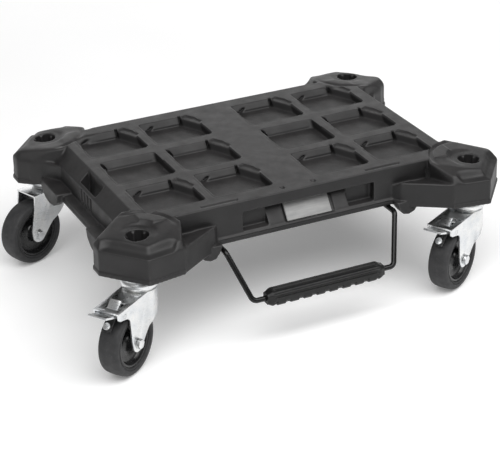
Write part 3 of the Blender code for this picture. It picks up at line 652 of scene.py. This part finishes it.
def hub(name):
    edge = [(0.0062, 0.0172), (0.0112, 0.0172), (0.0120, 0.0166), (0.0128, 0.0100), (0.0142, 0.0066)]
    edge += [(0.0160, 0.0056), (0.0225, 0.0050), (0.0290, 0.0056), (0.0312, 0.0072), (0.0326, 0.0120)]
    edge += [(0.0332, 0.0134)]
    edge += [(0.0340, 0.0138), (0.0358, 0.0138), (0.0363, 0.0134)]
    joint = JOINTS["wheel_roll_" + name]
    return turned("hub_" + name, mirrored_profile(edge), 72, joint["pos_m"], joint["axis"])


def swivel_cup(name):
    profile = [(CUP_BORE, CUP_TOP_Z), (0.0271, CUP_TOP_Z), (0.0275, CUP_TOP_Z - 0.0004), (0.0275, -0.0628)]
    profile += [(0.0270, -0.0634)]
    profile += [(0.0252, -0.0646), (0.0242, -0.0664), (0.0240, -0.0690)]
    profile += [(0.0244, -0.0712), (0.0256, -0.0730), (0.0266, -0.0746), (0.0268, -0.0765), (0.0268, -0.0792)]
    profile += [(0.0264, -0.0808), (0.0256, -0.0818), (0.0246, CUP_BOTTOM_Z), (CUP_BORE, CUP_BOTTOM_Z)]
    joint = JOINTS["swivel_turn_" + name]
    centre = (joint["pos_m"][0], joint["pos_m"][1], 0.0)
    return turned("swivel_cup_" + name, profile, 72, centre, (0, 0, 1))


def brake_pedal(name):
    """The zinc tread plate with its blackened pressing arm below."""
    piece = rounded_copy("brake_pedal_" + name, 0.0004)
    piece.data.materials.append(LOOKS["black_steel"])
    arm_top = min(v.co.z for v in piece.data.vertices) + BRAKE_ARM_HEIGHT
    for face in piece.data.polygons:
        face.material_index = 1 if face.center.z < arm_top else 0


def caster(name):
    tyre(name)
    hub(name)
    swivel_cup(name)
    for part, width in (("fork", 0.00045), ("axle_bolt", 0.0004), ("axle_nut", 0.0004),
                        ("caster_bolt", 0.0004), ("caster_nut", 0.0004), ("axle_sleeve", 0.0001)):
        rounded_copy(part + "_" + name, width)
    if name.startswith("front"):
        brake_pedal(name)
        rounded_copy("brake_screw_" + name, 0.0003)
        rounded_copy("brake_pin_" + name, 0.0003)


# ---- handle ----------------------------------------------------------------------------------------------
def rounded_path(corners, radius, steps):
    """The corner points joined by straight runs and arcs of the given radius."""
    points = [Vector(corners[0])]
    for before, here, after in zip(corners, corners[1:], corners[2:]):
        here = Vector(here)
        back = (Vector(before) - here).normalized()
        ahead = (Vector(after) - here).normalized()
        half_angle = back.angle(ahead) / 2
        centre = here + (back + ahead).normalized() * (radius / math.sin(half_angle))
        start = here + back * (radius / math.tan(half_angle)) - centre
        end = here + ahead * (radius / math.tan(half_angle)) - centre
        sweep = start.angle(end)
        axis = start.cross(end).normalized()
        points += [centre + Matrix.Rotation(sweep * k / steps, 3, axis) @ start for k in range(steps + 1)]
    points.append(Vector(corners[-1]))
    return points


def handle_wire():
    half = [(WIRE_END_X, HANDLE_Y, HANDLE_Z), (LEG_TOP_X, HANDLE_Y, HANDLE_Z),
            (LEG_TOP_X, LEG_TOP_Y, HANDLE_Z), (LEG_FOOT_X, GRIP_Y, GRIP_Z)]
    path = rounded_path(half + [(-x, y, z) for x, y, z in reversed(half)], WIRE_BEND, 10)
    curve = bpy.data.curves.new("look_handle_wire", "CURVE")
    curve.dimensions = "3D"
    spline = curve.splines.new("POLY")
    spline.points.add(len(path) - 1)
    for target, point in zip(spline.points, path):
        target.co = (*point, 1.0)
    curve.bevel_depth = WIRE_RADIUS
    curve.bevel_resolution = 5
    curve.use_fill_caps = True
    drawn = add("drawn", curve)
    mesh = evaluated_mesh(drawn)
    bpy.data.objects.remove(drawn, do_unlink=True)
    return stand_for(shade(add("look_handle_wire", mesh), 50), "handle_wire")


def grip_radius(x, angles):
    """Rounded-square section, tapered ends, ribs along the upper side and square notches below in front."""
    c, s = numpy.abs(numpy.cos(angles)), numpy.abs(numpy.sin(angles))
    radius = GRIP_HALF_SIDE / (c ** GRIP_SQUARENESS + s ** GRIP_SQUARENESS) ** (1 / GRIP_SQUARENESS)
    radius = numpy.minimum(radius, GRIP_CORNER_REACH)
    near_end = (GRIP_HALF_LENGTH - abs(x)) / GRIP_TAPER
    radius -= 0.0042 * (1 - ramp(near_end, 0.0, 1.0)) ** 1.5
    along_body = ramp(near_end, 0.5, 1.3)
    degrees = numpy.degrees(angles)
    ribbed = ramp(degrees, 5, 12) * (1 - ramp(degrees, 185, 200))
    wave = 0.5 - 0.5 * numpy.cos(2 * math.pi * degrees / GRIP_RIB_PITCH)
    radius -= GRIP_RIB_DEPTH * ribbed * along_body * ramp(wave, 0.30, 0.70)
    offset = abs((x / GRIP_NOTCH_PITCH) % 1.0 - 0.5) * GRIP_NOTCH_PITCH
    notched = ramp(degrees, 285, 294) * (1 - ramp(degrees, 338, 347))
    radius -= GRIP_NOTCH_DEPTH * ramp(offset, 0.0060, 0.0068) * notched * along_body
    return radius


def handle_grip():
    """The ribbed rubber tube round the wire, open at both ends."""
    end, bore = GRIP_HALF_LENGTH, WIRE_RADIUS + 0.0003
    along, around = 190, 120
    angles = 2 * math.pi * numpy.arange(around) / around
    sections = [(x, grip_radius(x, angles)) for x in [-end + 2 * end * i / along for i in range(along + 1)]]
    bore_ring = numpy.full(around, bore)
    rows = []
    for x, radii in [(-end, bore_ring)] + sections + [(end, bore_ring)]:
        rows.append([(x, GRIP_Y - r * math.cos(a), GRIP_Z + r * math.sin(a)) for r, a in zip(radii, angles)])
    return stand_for(shade(grid("look_handle_grip", rows, closed_rows=True), 40), "handle_grip")


# ---- stage -----------------------------------------------------------------------------------------------
def camera():
    """A camera at an azimuth, an elevation and a roll round a point under the deck."""
    azimuth, elevation, roll = (math.radians(a) for a in (-25.080, 26.452, -1.396))
    distance, lens = 2.4953, 124.05
    target = Vector((-0.07175, -0.13834, -0.060))
    back = Vector((math.sin(azimuth) * math.cos(elevation), -math.cos(azimuth) * math.cos(elevation),
                   math.sin(elevation)))
    right = Vector((math.cos(azimuth), math.sin(azimuth), 0.0))
    up = back.cross(right)
    side = right * math.cos(roll) + up * math.sin(roll)
    over = up * math.cos(roll) - right * math.sin(roll)
    data = bpy.data.cameras.new("camera")
    data.sensor_width = 36.0
    data.lens = lens
    data.clip_end = 50.0
    made = add("camera", data)
    placed = Matrix((side, over, back)).transposed().to_4x4()
    placed.translation = target + back * distance
    made.matrix_world = placed
    bpy.context.scene.camera = made


def area_light(name, position, target, size, energy):
    data = bpy.data.lights.new(name, "AREA")
    data.shape = "RECTANGLE"
    data.size, data.size_y = size
    data.energy = energy
    made = add(name, data)
    made.location = position
    made.rotation_euler = (Vector(target) - Vector(position)).to_track_quat("-Z", "Y").to_euler()


def stage():
    corners = [(sx * FLOOR_HALF, sy * FLOOR_HALF) for sx, sy in ((-1, -1), (1, -1), (1, 1), (-1, 1))]
    floor = grid("floor", [[(x, y, z) for x, y in corners] for z in (0, -FLOOR_THICKNESS)], caps=True)
    floor.location.z = FLOOR_Z - 0.0002
    floor.data.materials.append(floor_paint())
    world = bpy.data.worlds.new("studio")
    bpy.context.scene.world = world
    world.use_nodes = True
    sky = world.node_tree.nodes["Background"]
    sky.inputs["Color"].default_value = (1.0, 1.0, 1.0, 1.0)
    sky.inputs["Strength"].default_value = 0.28
    area_light("overhead_softbox", (-0.1, -1.35, 2.0), (0.0, -0.1, -0.05), (4.4, 1.9), 90.0)
    area_light("back_panel", (0.8, 2.0, 0.55), (0.0, 0.0, 0.0), (3.2, 1.1), 14.0)
    bpy.context.scene.view_settings.view_transform = "Standard"


camera()
stage()
deck()
rounded_copy("front_plate", 0.0012)
for caster_name in CASTERS:
    caster(caster_name)
handle_wire()
handle_grip()
